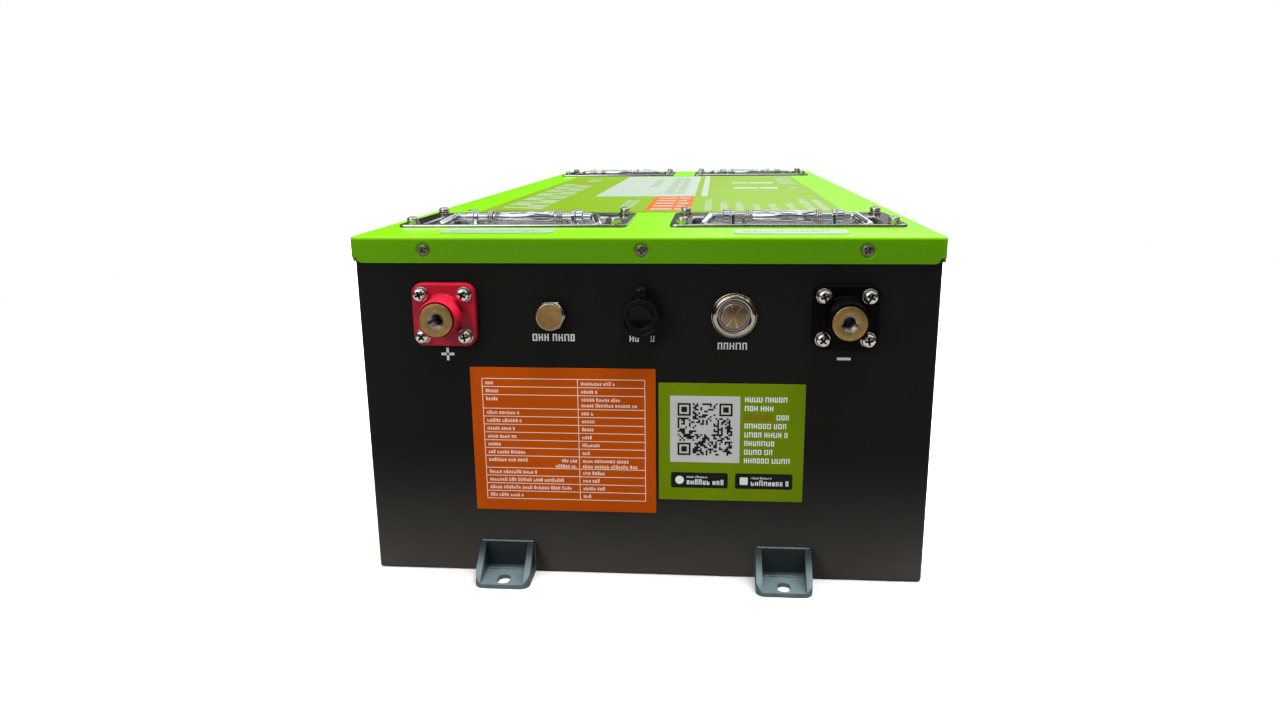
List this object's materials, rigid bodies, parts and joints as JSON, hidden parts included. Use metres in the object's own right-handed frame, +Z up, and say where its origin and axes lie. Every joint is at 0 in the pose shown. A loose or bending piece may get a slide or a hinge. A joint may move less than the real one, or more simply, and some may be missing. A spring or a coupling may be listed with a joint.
{
  "type": "deep cycle battery",
  "caption": "Long sheet steel battery pack with a green tray lid, folding handles, front stud terminals, vent, capped data port, push button and slotted feet",
  "frame": {"origin": "centre of the bounding box on the ground plane, under the middle of the case", "axes": "+X across the front panel to the right as seen from the front, +Y from the front panel to the rear, +Z up"},
  "size_m": [0.33, 0.8438, 0.2103],
  "materials": {
    "case_paint": "charcoal powder coat, fine texture",
    "lid_paint": "lime green powder coat",
    "foot_paint": "blue-grey paint over welded sheet",
    "chrome": "polished chrome plate",
    "steel": "turned or plated steel",
    "red_plastic": "moulded red plastic, satin",
    "black_plastic": "moulded black plastic",
    "rubber": "black rubber",
    "brass": "dull nickelled brass",
    "nickel": "bright nickel plate",
    "ring_plastic": "translucent grey plastic",
    "orange_label": "printed vinyl",
    "olive_label": "printed vinyl",
    "pale_label": "printed vinyl",
    "cell_wrap": "blue film on prismatic cells",
    "board": "glass fibre board",
    "copper": "bare copper bar",
    "aluminium": "plain milled sheet",
    "cable_red": "silicone cable jacket",
    "cable_black": "silicone cable jacket"
  },
  "bodies": {
    "pack": {"case_body": "case_paint", "lid_tray": "lid_paint", "lid_gasket": "rubber", "lid_screw_front_left": "steel", "lid_screw_front_mid": "steel", "lid_screw_front_right": "steel", "lid_screw_rear_left": "steel", "lid_screw_rear_mid": "steel", "lid_screw_rear_right": "steel", "foot_front_left": "foot_paint", "foot_front_right": "foot_paint", "foot_rear_left": "foot_paint", "foot_rear_right": "foot_paint", "handle_plate_front_left": "chrome", "handle_sleeve_front_left": "chrome", "handle_plate_front_right": "chrome", "handle_sleeve_front_right": "chrome", "handle_plate_rear_left": "chrome", "handle_sleeve_rear_left": "chrome", "handle_plate_rear_right": "chrome", "handle_sleeve_rear_right": "chrome", "terminal_flange_positive": "red_plastic", "terminal_flange_negative": "black_plastic", "terminal_stud_positive": "brass", "terminal_stud_negative": "brass", "vent_body": "nickel", "vent_cap": "brass", "vent_nut": "nickel", "port_body": "black_plastic", "port_nut": "nickel", "cap_tether": "rubber", "button_housing": "chrome", "button_ring": "ring_plastic", "button_nut": "nickel", "label_rating": "orange_label", "label_code": "olive_label", "label_lid": "olive_label", "label_serial_left": "pale_label", "label_serial_right": "pale_label", "cells_left_front": "cell_wrap", "cells_left_rear": "cell_wrap", "cells_right_front": "cell_wrap", "cells_right_rear": "cell_wrap", "end_plate_front": "aluminium", "end_plate_rear": "aluminium", "base_mat": "rubber", "top_board": "board", "control_heat_plate": "aluminium", "control_unit": "black_plastic", "busbar_rear": "copper", "busbar_positive": "copper", "busbar_negative": "copper", "cable_positive": "cable_red", "cable_negative": "cable_black"},
    "button_plunger": {"button_plunger": "steel"},
    "dust_cap": {"dust_cap": "rubber"},
    "handle_loop_front_left": {"handle_loop_front_left": "chrome"},
    "handle_loop_front_right": {"handle_loop_front_right": "chrome"},
    "handle_loop_rear_left": {"handle_loop_rear_left": "chrome"},
    "handle_loop_rear_right": {"handle_loop_rear_right": "chrome"}
  },
  "joints": [
    {"name": "handle_front_left_fold", "type": "hinge", "parent": "pack", "child": "handle_loop_front_left", "pos_m": [-0.083, -0.307, 0.2051], "axis": [-1, 0, 0], "range_deg": [0, 100], "stiffness_Nm_per_rad": 0.05, "springref_deg": -28.65},
    {"name": "handle_front_right_fold", "type": "hinge", "parent": "pack", "child": "handle_loop_front_right", "pos_m": [0.083, -0.307, 0.2051], "axis": [-1, 0, 0], "range_deg": [0, 100], "stiffness_Nm_per_rad": 0.05, "springref_deg": -28.65},
    {"name": "handle_rear_left_fold", "type": "hinge", "parent": "pack", "child": "handle_loop_rear_left", "pos_m": [-0.083, 0.307, 0.2051], "axis": [1, 0, 0], "range_deg": [0, 100], "stiffness_Nm_per_rad": 0.05, "springref_deg": -28.65},
    {"name": "handle_rear_right_fold", "type": "hinge", "parent": "pack", "child": "handle_loop_rear_right", "pos_m": [0.083, 0.307, 0.2051], "axis": [1, 0, 0], "range_deg": [0, 100], "stiffness_Nm_per_rad": 0.05, "springref_deg": -28.65},
    {"name": "dust_cap_fold", "type": "hinge", "parent": "pack", "child": "dust_cap", "pos_m": [0, -0.4037, 0.1761], "axis": [-1, 0, 0], "range_deg": [0, 150]},
    {"name": "button_press", "type": "slide", "parent": "pack", "child": "button_plunger", "axis": [0, 1, 0], "range_m": [0, 0.0025], "stiffness_N_per_m": 600, "springref_m": -0.003}
  ]
}
